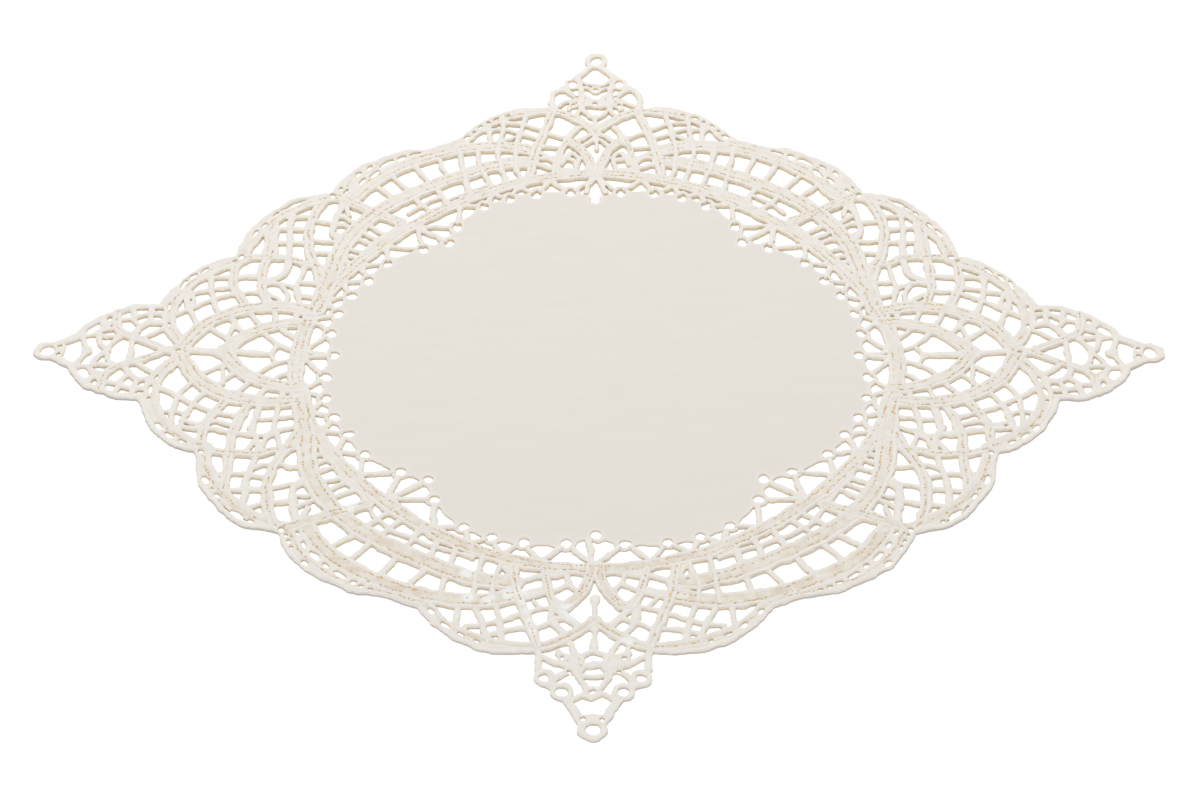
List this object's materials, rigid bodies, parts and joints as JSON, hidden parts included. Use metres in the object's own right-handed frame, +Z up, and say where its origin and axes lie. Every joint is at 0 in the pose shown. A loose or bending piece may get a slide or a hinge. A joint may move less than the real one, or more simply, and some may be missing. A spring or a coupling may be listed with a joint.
{
  "type": "lace table topper",
  "caption": "Flat table topper: a round of plain cloth inside a wide, pointed and scalloped border of tape lace, laid over a table top to dress and protect it.",
  "frame": {"origin": "centre of the topper's box on its underside, where it lies on the table top", "axes": "+X along the longer diagonal from tip to tip, +Y away from the viewer along the shorter diagonal, +Z up out of the right side of the lace"},
  "size_m": [0.6498, 0.6092, 0.0026],
  "materials": {
    "lace": "ecru cotton tape and thread, matt, with ribbed tapes and rows of fine stitches",
    "cloth": "ecru plain-weave linen, matt"
  },
  "bodies": {
    "root": {"lace_border": "lace", "centre_cloth": "cloth"}
  },
  "joints": []
}
